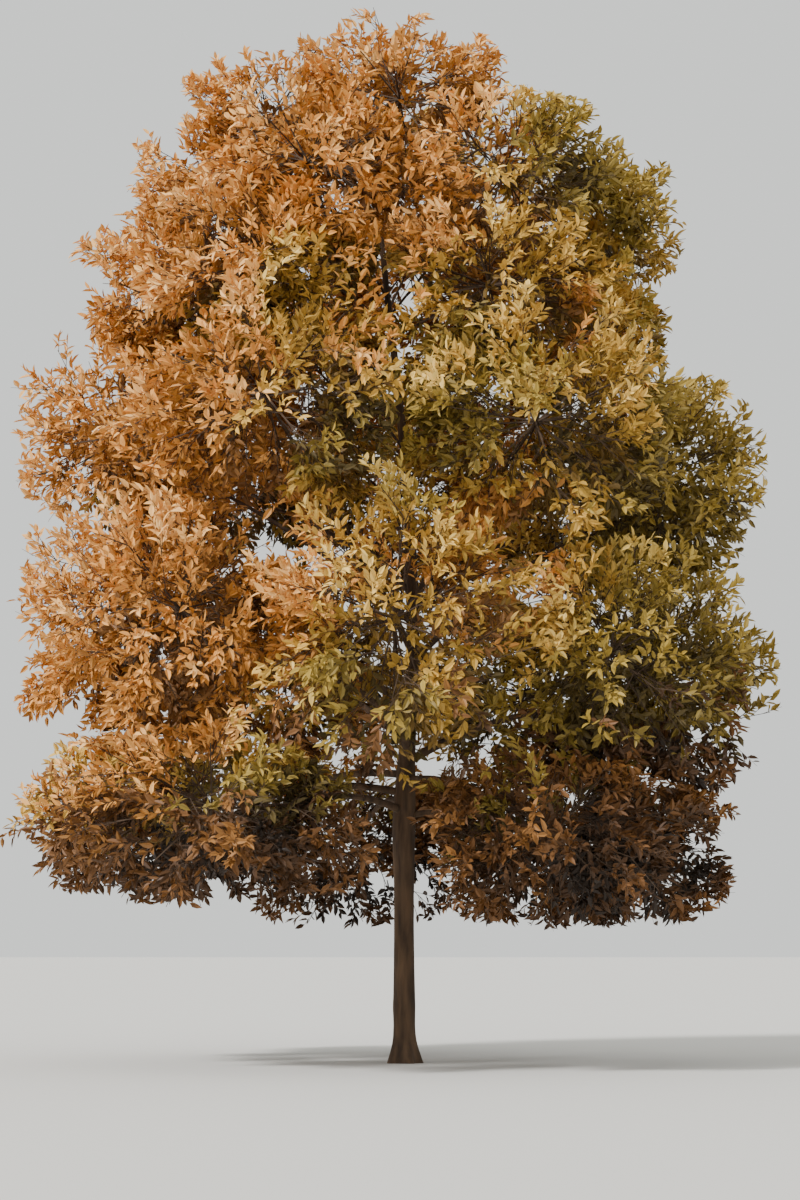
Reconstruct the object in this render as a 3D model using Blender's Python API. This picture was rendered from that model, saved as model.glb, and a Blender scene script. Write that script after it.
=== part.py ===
"""A sweet chestnut in early autumn leaf, as a whole tree in separate solids.

Metres, +Z up, with the origin in the flat cut under the trunk. The front view looks along +Y, so
the tree's left is at -X. Bearings run from the right (0 degrees) by the back (90) and the left
(180) to the front (270).

The trunk runs whole from the ground into the top of the crown. Round it stand tiers of leafy
masses. The three lower tiers hang on boughs, and the masses above them grow from the trunk.
Each mass keeps to a space of its own: an ellipsoid, walled off where it would meet the next one.
"""

import math
from collections import namedtuple

import bmesh
import bpy
import numpy as np
from mathutils import Matrix, Vector, noise

SEED = 1871
GAP = 0.0003  # air left between two pieces that touch
UP = np.array((0.0, 0.0, 1.0))
GOLDEN = (math.sqrt(5.0) - 1.0) / 2.0

# The trunk: height, radius, and how far its middle stands to the right and to the back.
# It is straight up to the first forks and leans left, as a slim leader, towards the top.
TrunkPoint = namedtuple("TrunkPoint", "height radius right back")
TRUNK = (
    TrunkPoint(0.00, 0.270, 0.00, 0.00),
    TrunkPoint(0.30, 0.192, 0.00, 0.00),
    TrunkPoint(0.90, 0.172, 0.00, 0.00),
    TrunkPoint(2.40, 0.156, 0.00, 0.00),
    TrunkPoint(3.60, 0.178, 0.00, 0.00),
    TrunkPoint(4.50, 0.138, 0.04, 0.01),
    TrunkPoint(6.00, 0.106, 0.13, 0.05),
    TrunkPoint(8.00, 0.083, 0.09, 0.02),
    TrunkPoint(10.0, 0.064, -0.08, -0.06),
    TrunkPoint(12.0, 0.046, -0.30, -0.03),
    TrunkPoint(14.2, 0.022, -0.50, 0.00),
)
TRUNK_SIDES = 15
TRUNK_RINGS = 17
RINGS_CROWDED = 1.7  # above 1, the rings crowd towards the foot
FLARE_LOBES = 5
FLARE_DEPTH = 0.13  # how far the root lobes stand out, as a share of the radius
FLARE_HEIGHT = 0.35

# One side of a tier of masses: the height of a mass's middle, how far its tip reaches from the
# root's axis, and half its depth and half its height.
Side = namedtuple("Side", "height reach deep tall")

# A tier's right and left sides are the crown's outline in the front view, and the masses between
# them, at the back and the front, take sizes between. Its boughs or stems leave the trunk from
# `fork` up, over a stretch of `fork_band`. `bough` is a bough's radius there, and 0 where the
# masses grow from the trunk. `arch` is how far a bough bows up.
Tier = namedtuple("Tier", "name right left bearings fork fork_band bough arch")
TIERS = (
    Tier(
        "skirt", Side(3.15, 5.00, 1.60, 1.18), Side(3.68, 6.00, 1.75, 1.28),
        (0, 50, 104, 146, 180, 230, 306), 3.62, 0.72, 0.064, 0.42,
    ),
    Tier(
        "lower", Side(5.62, 5.60, 1.65, 1.75), Side(6.45, 5.98, 1.75, 1.85),
        (0, 60, 120, 180, 222, 268, 316), 4.42, 1.05, 0.072, 0.40,
    ),
    Tier(
        "middle", Side(8.70, 5.45, 1.65, 1.60), Side(9.40, 5.90, 1.75, 1.60),
        (0, 46, 92, 136, 180, 242, 298), 5.95, 1.20, 0.056, 0.30,
    ),
    Tier(
        "upper", Side(10.85, 4.20, 1.45, 0.92), Side(11.40, 5.15, 1.60, 1.25),
        (0, 62, 118, 180, 236, 294), 8.70, 1.00, 0.0, 0.0,
    ),
    Tier(
        "high", Side(12.60, 4.35, 1.45, 1.00), Side(13.05, 4.25, 1.50, 1.10),
        (0, 88, 180, 240, 300), 10.90, 0.75, 0.0, 0.0,
    ),
    Tier(
        "highest", Side(13.90, 2.30, 1.15, 0.75), Side(14.35, 3.45, 1.35, 0.92),
        (0, 96, 180, 268), 12.70, 0.48, 0.0, 0.0,
    ),
)
TOP_NAME = "top"
TOP_MIDDLE = (-0.52, -0.05, 15.10)
TOP_HALF = (1.30, 1.30, 0.92)
SECTORS = ("right", "back_right", "back", "back_left", "left", "front_left", "front", "front_right")
OVERLAP = 1.30  # how far an ellipsoid runs over into the next ones before the walls cut it
WALL_AIR = 0.012  # from a mass's outermost point to the wall between two spaces
TRUNK_AIR = 0.20  # from the trunk's surface to the inner wall of every space
LIMB_AIR = 0.05  # from a twig or leaf to a limb that isn't its own

BOUGH_RINGS = 4
BOUGH_SIDES = 6
BOUGH_TIP = 0.42  # a bough's radius at its tip, as a share of that at its fork
BOUGH_ENTRY = 0.80  # where a bough's tip enters a mass: 0 in its middle and 1 at its outline
STEM_RADIUS = 0.026
STEM_STRAIGHT = 0.08  # how far a stem runs on in its limb's direction before it turns to the heart

# A mass's twigs fork from its stem at the heart and run towards every side. Each bears leaves,
# one from the middle of each of its flat sides. A leaf stands for a spray, so it is larger than
# life.
TWIGS = 5
TWIG_SIDES = 3
TWIG_RADIUS = 0.040
TWIG_TIP = 0.80  # a twig's radius at its end, as a share of that at the heart
TWIG_REACH = 0.54  # a twig's length, as a share of the way to the mass's outline
TWIG_BEND = 0.10
LeafSeat = namedtuple("LeafSeat", "along lean")  # the place along a twig, the angle away from it
LEAF_SEATS = (
    LeafSeat(0.98, math.radians(10)),
    LeafSeat(0.90, math.radians(58)),
    LeafSeat(0.78, math.radians(64)),
)
LEAF_LONGEST = 1.60
LEAF_SHORTEST = 0.40
LEAF_TRIM = 0.90  # what is left of a leaf that doesn't fit, at each try
LEAF_WIDTH = 0.70  # this and the next three are shares of a leaf's length
LEAF_THICKNESS = 0.030
LEAF_WIDEST = 0.46
LEAF_FOLD = 0.05  # how far its two halves rise from its midrib
LEAF_TILT = 0.50
LEAF_FACES = ((0, 4, 2), (0, 3, 4), (0, 5, 3), (0, 2, 5), (1, 2, 4), (1, 4, 3), (1, 3, 5), (1, 5, 2))

# The core gives a dense mass its bulk.
CORE_SHARE = np.array((0.31, 0.44, 0.44))  # its depth, width and height, as shares of the mass's
CORE_SIDES = 6
CORE_RINGS = 4
CORE_LUMPS = 0.32  # the size of its lumps, as a share of its radius
CORE_LUMP_SCALE = 1.7
CORE_LIMB_AIR = 0.20
CORE_WALL_SHARE = 0.86  # the most of the way to a wall that it takes

Colour = namedtuple("Colour", "red green blue")
BARK = Colour(0.085, 0.050, 0.026)
APRICOT = Colour(0.66, 0.29, 0.070)
OLIVE_GOLD = Colour(0.35, 0.20, 0.036)
RUSSET = Colour(0.105, 0.040, 0.012)
RUSSET_UP_TO = 2.0  # the height below which all leaves are russet
SUNLIT_FROM = 8.0  # the height above which none are
BARK_ROUGHNESS = 0.90
LEAF_ROUGHNESS = 0.75


def unit(vector):
    return vector / np.linalg.norm(vector)


def between(low, high, share):
    return low + (high - low) * share


class Limb:
    """A round limb along a line of points, each with its radius."""

    def __init__(self, points, radii):
        self.points = np.array(points, float)
        self.radii = np.array(radii, float)

    def samples(self):
        """Points close together along the limb."""
        share = np.linspace(0.0, 1.0, 12)[:, None, None]
        return between(self.points[:-1], self.points[1:], share).reshape(-1, 3)

    def clear_of(self, samples, air):
        """Tell whether every sample point stays at least `air` from the limb's surface."""
        starts, ends = self.points[:-1], self.points[1:]
        along = ends - starts
        from_start = samples[:, None, :] - starts[None]
        share = np.clip((from_start * along).sum(-1) / (along * along).sum(-1), 0.0, 1.0)
        distance = np.linalg.norm(from_start - share[..., None] * along, axis=-1)
        radius = np.maximum(self.radii[:-1], self.radii[1:])
        return bool((distance > radius + air).all())


class Space:
    """The convex room of one mass: an ellipsoid with flat walls towards its neighbours."""

    def __init__(self, middle, half, bearing):
        outward = (math.cos(bearing), math.sin(bearing), 0.0)
        sideways = (-math.sin(bearing), math.cos(bearing), 0.0)
        self.middle = np.array(middle, float)
        self.half = np.array(half, float)
        self.frame = np.array((outward, sideways, UP))
        self.walls = []

    def scaled(self, offsets):
        """Turn offsets from the middle into the ellipsoid's own, where its surface is at 1."""
        return np.asarray(offsets) @ self.frame.T / self.half

    def radius(self, way):
        """The ellipsoid's radius along a unit direction."""
        return 1.0 / np.linalg.norm(self.scaled(way))

    def add_wall(self, normal, distance):
        self.walls.append((np.array(normal, float), distance - WALL_AIR))

    def wall_run(self, start, way):
        """How far a line runs from `start` before it meets a wall."""
        runs = [
            (distance - normal @ (start - self.middle)) / (normal @ way)
            for normal, distance in self.walls
            if normal @ way > 1e-9
        ]
        return min(runs, default=math.inf)

    def run(self, start, way):
        """How far a line runs from `start` before it leaves the space."""
        origin, step = self.scaled(start - self.middle), self.scaled(way)
        a, b, c = step @ step, origin @ step, origin @ origin - 1.0
        root = b * b - a * c
        if root <= 0.0:
            return 0.0
        return min((math.sqrt(root) - b) / a, self.wall_run(start, way))

    def holds(self, points):
        """Tell whether all the points lie in the space."""
        offsets = points - self.middle
        if np.linalg.norm(self.scaled(offsets), axis=1).max() > 1.0 + 1e-6:
            return False
        return all((offsets @ normal <= distance).all() for normal, distance in self.walls)


class Mass:
    """One mass of foliage: its name, its space, its bough if it has one, and its stem."""

    def __init__(self, name, space, fork, bough_radius, arch):
        self.name = name
        self.space = space
        self.bough = None
        if name == TOP_NAME:
            tip = trunk_at(np.array([TRUNK[-1].height]))[0][0]
            self.stem = self.stem_from(tip, UP, TRUNK[-1].radius)
            return
        start = trunk_at(np.array([fork]))[0][0]
        if not bough_radius:
            self.stem = Limb((start, space.middle), (STEM_RADIUS, STEM_RADIUS))
            return
        inward = unit(start - space.middle)
        entry = space.middle + inward * BOUGH_ENTRY * space.run(space.middle, inward)
        control = between(start, entry, 0.5) + UP * arch
        share = np.linspace(0.0, 1.0, BOUGH_RINGS + 1)[:, None]
        points = (1 - share) ** 2 * start + 2 * share * (1 - share) * control + share**2 * entry
        radii = bough_radius * between(1.0, BOUGH_TIP, share[:, 0])
        self.bough = Limb(points, radii)
        self.stem = self.stem_from(entry, unit(points[-1] - points[-2]), radii[-1])

    def stem_from(self, tip, way, tip_radius):
        """A stem that starts square to a limb's flat tip, a gap clear of it, and turns to the heart."""
        start = tip + way * GAP
        radius = min(STEM_RADIUS, tip_radius)
        return Limb((start, start + way * STEM_STRAIGHT, self.space.middle), (radius,) * 3)


def trunk_at(heights):
    """The trunk's middles and radii at any heights, on a smooth line through its named points."""
    knots = np.array([point.height for point in TRUNK])
    values = np.array([point[1:] for point in TRUNK])
    slopes = np.gradient(values, knots, axis=0)
    index = np.clip(np.searchsorted(knots, heights, side="right") - 1, 0, len(knots) - 2)
    step = (knots[index + 1] - knots[index])[:, None]
    t = (heights - knots[index])[:, None] / step
    smooth = (
        (2 * t**3 - 3 * t**2 + 1) * values[index]
        + (t**3 - 2 * t**2 + t) * step * slopes[index]
        + (3 * t**2 - 2 * t**3) * values[index + 1]
        + (t**3 - t**2) * step * slopes[index + 1]
    )
    middles = np.column_stack((smooth[:, 1], smooth[:, 2], heights))
    return middles, smooth[:, 0]


def trunk_heights():
    """Ring heights, close together over the root flare and wider apart further up."""
    return TRUNK[-1].height * np.linspace(0.0, 1.0, TRUNK_RINGS) ** RINGS_CROWDED


def trunk_rings(extra):
    """The trunk's rings, grown by `extra`, with lobes where the roots begin."""
    heights = trunk_heights()
    angles = np.arange(TRUNK_SIDES) * math.tau / TRUNK_SIDES
    around = np.column_stack((np.cos(angles), np.sin(angles), np.zeros(TRUNK_SIDES)))
    to_corner = extra / math.cos(math.pi / TRUNK_SIDES)
    rings = []
    for middle, radius, height in zip(*trunk_at(heights), heights):
        depth = FLARE_DEPTH * math.exp(-height / FLARE_HEIGHT)
        lobed = radius * (1.0 + depth * np.cos(FLARE_LOBES * angles)) + to_corner
        rings.append(middle + lobed[:, None] * around)
    return rings


def across(ways):
    """Two directions square to each given direction, the first pointing as far up as it can."""
    sideways = np.cross(ways, UP)
    upright = np.linalg.norm(sideways, axis=-1) < 1e-6
    sideways[upright] = (1.0, 0.0, 0.0)
    sideways /= np.linalg.norm(sideways, axis=-1)[:, None]
    return np.cross(sideways, ways), sideways


def limb_rings(limb, sides):
    """Rings square to a limb's line."""
    ways = np.gradient(limb.points, axis=0)
    ways /= np.linalg.norm(ways, axis=1)[:, None]
    angles = np.arange(sides) * math.tau / sides
    return [
        point + radius * (np.outer(np.cos(angles), over) + np.outer(np.sin(angles), side))
        for point, radius, over, side in zip(limb.points, limb.radii, *across(ways))
    ]


def sector_name(bearing):
    return SECTORS[round(bearing / 45) % len(SECTORS)]


def tier_masses(tier):
    """Lay out one tier of masses round the trunk."""
    masses = []
    count = len(tier.bearings)
    for i, bearing in enumerate(tier.bearings):
        angle = math.radians(bearing)
        leftness = (1.0 - math.cos(angle)) / 2.0
        side = Side(*(between(low, high, leftness) for low, high in zip(tier.right, tier.left)))
        before = (bearing - tier.bearings[i - 1]) % 360
        after = (tier.bearings[(i + 1) % count] - bearing) % 360
        distance = side.reach - side.deep
        wide = OVERLAP * distance * math.radians(before + after) / 4.0
        tall = side.tall * between(1.0, OVERLAP, 1.0 - abs(math.cos(angle)))
        middle = (distance * math.cos(angle), distance * math.sin(angle), side.height)
        space = Space(middle, (side.deep, wide, tall), angle)
        fork = tier.fork + tier.fork_band * (i * GOLDEN % 1.0)
        masses.append((f"{tier.name}_{sector_name(bearing)}", space, fork, tier.bough, tier.arch))
    return masses


def divide(spaces):
    """Put a wall between every two spaces."""
    for i, first in enumerate(spaces):
        for second in spaces[i + 1 :]:
            apart = second.middle - first.middle
            way = unit(apart)
            here, there = first.radius(way), second.radius(way)
            distance = np.linalg.norm(apart)
            first.add_wall(way, distance * here / (here + there))
            second.add_wall(-way, distance * there / (here + there))


def wall_off_trunk(space):
    """Put a wall between a space and the trunk."""
    middles, radii = trunk_at(np.array([min(space.middle[2], TRUNK[-1].height)]))
    outward = space.frame[0]
    space.add_wall(-outward, (space.middle - middles[0]) @ outward - radii[0] - TRUNK_AIR)


def all_masses():
    """Every mass of the crown, each in its own space, from the lowest tier to the top."""
    plans = [plan for tier in TIERS for plan in tier_masses(tier)]
    for plan in plans:
        wall_off_trunk(plan[1])
    plans.append((TOP_NAME, Space(TOP_MIDDLE, TOP_HALF, 0.0), 0.0, 0.0, 0.0))
    divide([plan[1] for plan in plans])
    return [Mass(*plan) for plan in plans]


def spread_ways(count, draw):
    """Directions spread evenly round a ball, turned at random."""
    turn = draw.uniform(0.0, math.tau)
    rise = 1.0 - 2.0 * (np.arange(count) + 0.5) / count
    around = turn + np.arange(count) * math.tau * GOLDEN
    flat = np.sqrt(1.0 - rise**2)
    return np.column_stack((flat * np.cos(around), flat * np.sin(around), rise))


def leaf_points(root, way, face, length):
    """The six corners of a leaf: root, tip, two edges, and the two sides of its midrib."""
    widest = root + way * length * LEAF_WIDEST
    half_width = np.cross(face, way) * length * LEAF_WIDTH / 2
    half_thick = face * length * LEAF_THICKNESS / 2
    lift = face * length * LEAF_FOLD
    return np.array((
        root,
        root + way * length,
        widest + half_width + lift,
        widest - half_width + lift,
        widest + half_thick,
        widest - half_thick,
    ))


def leaf_samples(points):
    """Points all over a leaf, for the tests against limbs."""
    root, tip, left, right, over, under = points
    share = np.linspace(0.0, 1.0, 13)[:, None]
    middle = (over + under) / 2
    rows = []
    for across_share in np.linspace(-1.0, 1.0, 9):
        edge = left if across_share > 0 else right
        widest = between(middle, edge, abs(across_share))
        lower = between(root, widest, share * 2)
        rows.append(np.where(share < 0.5, lower, between(widest, tip, share * 2 - 1)))
    return np.concatenate(rows)


def fitted_leaf(space, limbs, root, way, face):
    """The longest leaf that stays in its space and off the limbs, or None."""
    length = min(LEAF_LONGEST, space.run(root, way))
    while length > LEAF_SHORTEST:
        points = leaf_points(root, way, face, length)
        if space.holds(points) and all(limb.clear_of(leaf_samples(points), LIMB_AIR) for limb in limbs):
            return points
        length *= LEAF_TRIM
    return None


def tube_mesh(name, rings):
    """A closed tube through rings of equally many points, with a flat cap at each end."""
    shape = bmesh.new()
    loops = [[shape.verts.new(point) for point in ring] for ring in rings]
    sides = len(rings[0])
    for lower, upper in zip(loops, loops[1:]):
        for i in range(sides):
            j = (i + 1) % sides
            shape.faces.new((lower[i], lower[j], upper[j], upper[i]))
    shape.faces.new(loops[0][::-1])
    shape.faces.new(loops[-1])
    return finished_mesh(name, shape)


def leaf_mesh(points):
    """A leaf as a closed lens of eight faces."""
    shape = bmesh.new()
    corners = [shape.verts.new(point) for point in points]
    for face in LEAF_FACES:
        shape.faces.new([corners[i] for i in face])
    return finished_mesh("leaf", shape)


def core_mesh(space, limbs, draw):
    """A lumpy body in the middle of a mass that stays clear of limbs and walls."""
    size = 1.0
    for limb in limbs:
        near = np.linalg.norm(space.scaled(limb.samples() - space.middle) / CORE_SHARE, axis=1).min()
        size = min(size, (near - CORE_LIMB_AIR) / (1.0 + CORE_LUMPS / 2))
    shift = Vector(draw.uniform(-50.0, 50.0, 3))
    shape = bmesh.new()
    bmesh.ops.create_uvsphere(shape, u_segments=CORE_SIDES, v_segments=CORE_RINGS, radius=1.0)
    for vertex in shape.verts:
        lump = 1.0 + CORE_LUMPS * noise.noise(vertex.co * CORE_LUMP_SCALE + shift)
        offset = size * lump * (np.array(vertex.co) * CORE_SHARE * space.half) @ space.frame
        reach = np.linalg.norm(offset)
        most = CORE_WALL_SHARE * space.wall_run(space.middle, offset / reach)
        vertex.co = Vector(space.middle + offset * min(1.0, most / reach))
    return finished_mesh("core", shape)


def finished_mesh(name, shape):
    mesh = bpy.data.meshes.new(name)
    shape.to_mesh(mesh)
    shape.free()
    return mesh


def add_piece(pieces, mesh):
    """Put a mesh among the pieces that are about to be joined."""
    pieces.objects.link(bpy.data.objects.new(mesh.name, mesh))


def grow(space, limbs, draw, pieces):
    """Twigs from the heart towards every side of the mass, each with its leaves."""
    heart = space.middle
    bends = draw.normal(0.0, TWIG_BEND, (TWIGS, 3))
    turns = draw.integers(0, TWIG_SIDES, TWIGS)
    tilts = draw.normal(0.0, LEAF_TILT, (TWIGS, len(LEAF_SEATS), 3))
    for way, bend, turn, tilt in zip(spread_ways(TWIGS, draw), bends, turns, tilts):
        way = unit(unit(way * space.half @ space.frame) + bend)
        end = heart + way * TWIG_REACH * space.run(heart, way)
        twig = Limb((heart, end), (TWIG_RADIUS, TWIG_RADIUS * TWIG_TIP))
        if all(limb.clear_of(twig.samples(), LIMB_AIR + TWIG_RADIUS) for limb in limbs):
            add_piece(pieces, tube_mesh("twig", limb_rings(twig, TWIG_SIDES)))
            add_leaves(pieces, space, limbs, twig, turn, tilt)


def add_leaves(pieces, space, limbs, twig, turn, tilts):
    """One twig's leaves, each from the middle of a side of its own, facing the outside."""
    heart, end = twig.points
    along = unit(end - heart)
    over, side = (ways[0] for ways in across(along[None]))
    for k, (seat, tilt) in enumerate(zip(LEAF_SEATS, tilts)):
        root = between(heart, end, seat.along)
        angle = (turn + k + 0.5) * math.tau / TWIG_SIDES
        away = math.cos(angle) * over + math.sin(angle) * side
        way = math.cos(seat.lean) * along + math.sin(seat.lean) * away
        face = along + 0.5 * UP + tilt
        points = fitted_leaf(space, limbs, root, way, unit(face - way * (face @ way)))
        if points is not None:
            add_piece(pieces, leaf_mesh(points))


def join(obj, pieces, cutter):
    """Join the pieces to an object by one union, cut it clear of the trunk, and apply both."""
    union = obj.modifiers.new("joined", "BOOLEAN")
    union.operation = "UNION"
    union.solver = "EXACT"
    union.operand_type = "COLLECTION"
    union.collection = pieces
    if cutter is not None:
        cut_clear_of(obj, cutter)
    bpy.context.view_layer.update()
    graph = bpy.context.evaluated_depsgraph_get()
    joined = bpy.data.meshes.new_from_object(obj.evaluated_get(graph))
    obj.modifiers.clear()
    core = obj.data
    obj.data = joined
    bpy.data.meshes.remove(core)
    for piece in list(pieces.objects):
        mesh = piece.data
        bpy.data.objects.remove(piece)
        bpy.data.meshes.remove(mesh)
    bpy.data.collections.remove(pieces)


def cut_clear_of(obj, cutter):
    cut = obj.modifiers.new("clear_of_trunk", "BOOLEAN")
    cut.operation = "DIFFERENCE"
    cut.solver = "EXACT"
    cut.object = cutter


def keep_largest_body(mesh):
    """Drop any scrap that the joining left loose."""
    shape = bmesh.new()
    shape.from_mesh(mesh)
    left = set(shape.verts)
    bodies = []
    while left:
        body = {left.pop()}
        edge_of_body = list(body)
        while edge_of_body:
            near = {edge.other_vert(vertex) for vertex in edge_of_body for edge in vertex.link_edges}
            edge_of_body = list(near - body)
            body |= near
        left -= body
        bodies.append(body)
    for body in sorted(bodies, key=len)[:-1]:
        bmesh.ops.delete(shape, geom=list(body), context="VERTS")
    shape.to_mesh(mesh)
    shape.free()


def material(name, colour, roughness):
    made = bpy.data.materials.new(name)
    made.use_nodes = True
    shader = made.node_tree.nodes["Principled BSDF"]
    shader.inputs["Base Color"].default_value = (*colour, 1.0)
    shader.inputs["Roughness"].default_value = roughness
    shader.inputs["Metallic"].default_value = 0.0
    return made


def foliage_colour(place):
    """Apricot on the left and olive gold on the right, and russet low in the crown."""
    leftness = min(max(0.5 - place[0] / 8.0, 0.0), 1.0)
    height = min(max((place[2] - RUSSET_UP_TO) / (SUNLIT_FROM - RUSSET_UP_TO), 0.0), 1.0)
    sunlit = [between(right, left, leftness) for right, left in zip(OLIVE_GOLD, APRICOT)]
    return [between(low, high, height) for low, high in zip(RUSSET, sunlit)]


def place(name, mesh, origin, finish, parent):
    """Put a mesh, given in the tree's frame, in the scene as a part with its origin at `origin`."""
    mesh.transform(Matrix.Translation(-Vector(origin)))
    mesh.materials.append(finish)
    obj = bpy.data.objects.new(name, mesh)
    obj.location = origin
    obj.parent = parent
    bpy.context.scene.collection.objects.link(obj)
    return obj


def build_trunk(bark, parent):
    """Make the trunk, and the slightly larger cutter that keeps everything else clear of it."""
    foot = (0.0, 0.0, 0.0)
    trunk = place("trunk", tube_mesh("trunk", trunk_rings(0.0)), foot, bark, parent)
    trunk.data.shade_smooth()
    cutter = place("trunk_clearance", tube_mesh("trunk_clearance", trunk_rings(GAP)), foot, bark, parent)
    cutter.hide_render = True
    cutter.display_type = "WIRE"
    return cutter


def build_bough(mass, bark, cutter, parent):
    mesh = tube_mesh("bough", limb_rings(mass.bough, BOUGH_SIDES))
    bough = place(f"bough_{mass.name}", mesh, mass.bough.points[0], bark, parent)
    bough.data.shade_smooth()
    cut_clear_of(bough, cutter)


def build_foliage(mass, limbs, draw, cutter, parent):
    """Join one mass's core, stem, twigs and leaves into a single solid."""
    pieces = bpy.data.collections.new("pieces")
    bpy.context.scene.collection.children.link(pieces)
    add_piece(pieces, tube_mesh("stem", limb_rings(mass.stem, TWIG_SIDES)))
    grow(mass.space, limbs, draw, pieces)
    name = f"foliage_{mass.name}"
    foliage = bpy.data.objects.new(name, core_mesh(mass.space, limbs, draw))
    bpy.context.scene.collection.objects.link(foliage)
    starts_in_trunk = mass.bough is None and mass.name != TOP_NAME
    join(foliage, pieces, cutter if starts_in_trunk else None)
    keep_largest_body(foliage.data)
    foliage.data.transform(Matrix.Translation(-Vector(mass.space.middle)))
    foliage.data.materials.clear()
    foliage.data.materials.append(material(name, foliage_colour(mass.space.middle), LEAF_ROUGHNESS))
    foliage.location = mass.space.middle
    foliage.parent = parent


def main():
    for obj in list(bpy.data.objects):
        bpy.data.objects.remove(obj)
    tree = bpy.data.objects.new("chestnut_tree", None)
    bpy.context.scene.collection.objects.link(tree)
    bark = material("bark", BARK, BARK_ROUGHNESS)
    cutter = build_trunk(bark, tree)
    masses = all_masses()
    trunk = Limb(*trunk_at(trunk_heights()))
    boughs = [mass.bough for mass in masses if mass.bough is not None]
    for number, mass in enumerate(masses):
        if mass.bough is not None:
            build_bough(mass, bark, cutter, tree)
        other_stems = [other.stem for other in masses if other is not mass]
        draw = np.random.default_rng((SEED, number))
        build_foliage(mass, [trunk, *boughs, *other_stems], draw, cutter, tree)


if __name__ == "__main__":
    main()
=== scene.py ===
"""The look of the sweet chestnut: bark with relief, and twigs and leaves grown in the solids' masses.

Metres, +Z up, with the origin in the flat cut under the trunk. Each mass of foliage grows in the
space of its solid, fuller towards the corners, and is carried to finer twigs there.
"""

import logging
import math
from dataclasses import dataclass, field
from enum import Enum
from typing import NamedTuple

import bpy
import numpy as np
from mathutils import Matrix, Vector, noise


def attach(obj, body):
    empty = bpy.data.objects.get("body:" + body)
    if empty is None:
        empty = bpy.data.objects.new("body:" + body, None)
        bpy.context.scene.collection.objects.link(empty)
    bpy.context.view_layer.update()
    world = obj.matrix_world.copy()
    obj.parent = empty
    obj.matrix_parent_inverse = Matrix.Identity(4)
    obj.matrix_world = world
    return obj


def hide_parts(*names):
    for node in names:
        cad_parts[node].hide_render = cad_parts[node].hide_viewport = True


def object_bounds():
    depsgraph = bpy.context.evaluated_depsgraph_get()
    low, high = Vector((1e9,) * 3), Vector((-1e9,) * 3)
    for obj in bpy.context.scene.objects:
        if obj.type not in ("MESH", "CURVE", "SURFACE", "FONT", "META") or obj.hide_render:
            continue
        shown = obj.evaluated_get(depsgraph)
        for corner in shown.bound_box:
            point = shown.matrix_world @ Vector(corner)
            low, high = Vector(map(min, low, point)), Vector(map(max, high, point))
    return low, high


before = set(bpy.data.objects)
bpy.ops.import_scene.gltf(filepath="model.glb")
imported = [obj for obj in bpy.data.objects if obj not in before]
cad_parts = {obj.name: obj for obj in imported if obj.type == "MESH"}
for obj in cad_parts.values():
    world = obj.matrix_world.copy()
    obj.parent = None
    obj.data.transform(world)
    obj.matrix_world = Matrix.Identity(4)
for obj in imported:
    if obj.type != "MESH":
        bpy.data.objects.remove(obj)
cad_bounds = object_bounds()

SEED = 1871
GAP = 0.0003
UP = np.array((0.0, 0.0, 1.0))
GOLDEN = (math.sqrt(5.0) - 1.0) / 2.0
ALMOST_NONE = 1e-6
LEAST_RATE = 1e-9
BODY = "root"
log = logging.getLogger("chestnut")


class TrunkPoint(NamedTuple):
    """One named point of the trunk, in metres."""

    height: float
    radius: float
    right: float
    back: float


class Side(NamedTuple):
    """One side of a tier: its masses' height and reach, and half their depth and height."""

    height: float
    reach: float
    deep: float
    tall: float


class Tier(NamedTuple):
    """One tier of masses round the trunk, with bearings in degrees."""

    name: str
    right: Side
    left: Side
    bearings: tuple[float, ...]
    fork: float
    fork_band: float
    bough: float
    arch: float


TRUNK = (
    TrunkPoint(0.00, 0.270, 0.00, 0.00),
    TrunkPoint(0.30, 0.192, 0.00, 0.00),
    TrunkPoint(0.90, 0.172, 0.00, 0.00),
    TrunkPoint(2.40, 0.156, 0.00, 0.00),
    TrunkPoint(3.60, 0.178, 0.00, 0.00),
    TrunkPoint(4.50, 0.138, 0.04, 0.01),
    TrunkPoint(6.00, 0.106, 0.13, 0.05),
    TrunkPoint(8.00, 0.083, 0.09, 0.02),
    TrunkPoint(10.0, 0.064, -0.08, -0.06),
    TrunkPoint(12.0, 0.046, -0.30, -0.03),
    TrunkPoint(14.2, 0.022, -0.50, 0.00),
)
FLARE_LOBES = 5
FLARE_DEPTH = 0.13
FLARE_HEIGHT = 0.35

TIERS = (
    Tier(
        "skirt", Side(3.15, 5.00, 1.60, 1.18), Side(3.68, 6.00, 1.75, 1.28),
        (0, 50, 104, 146, 180, 230, 306), 3.62, 0.72, 0.064, 0.42,
    ),
    Tier(
        "lower", Side(5.62, 5.60, 1.65, 1.75), Side(6.45, 5.98, 1.75, 1.85),
        (0, 60, 120, 180, 222, 268, 316), 4.42, 1.05, 0.072, 0.40,
    ),
    Tier(
        "middle", Side(8.70, 5.45, 1.65, 1.60), Side(9.40, 5.90, 1.75, 1.60),
        (0, 46, 92, 136, 180, 242, 298), 5.95, 1.20, 0.056, 0.30,
    ),
    Tier(
        "upper", Side(10.85, 4.20, 1.45, 0.92), Side(11.40, 5.15, 1.60, 1.25),
        (0, 62, 118, 180, 236, 294), 8.70, 1.00, 0.0, 0.0,
    ),
    Tier(
        "high", Side(12.60, 4.35, 1.45, 1.00), Side(13.05, 4.25, 1.50, 1.10),
        (0, 88, 180, 240, 300), 10.90, 0.75, 0.0, 0.0,
    ),
    Tier(
        "highest", Side(13.90, 2.30, 1.15, 0.75), Side(14.35, 3.45, 1.35, 0.92),
        (0, 96, 180, 268), 12.70, 0.48, 0.0, 0.0,
    ),
)
TOP_NAME = "top"
TOP_MIDDLE = (-0.52, -0.05, 15.10)
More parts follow.
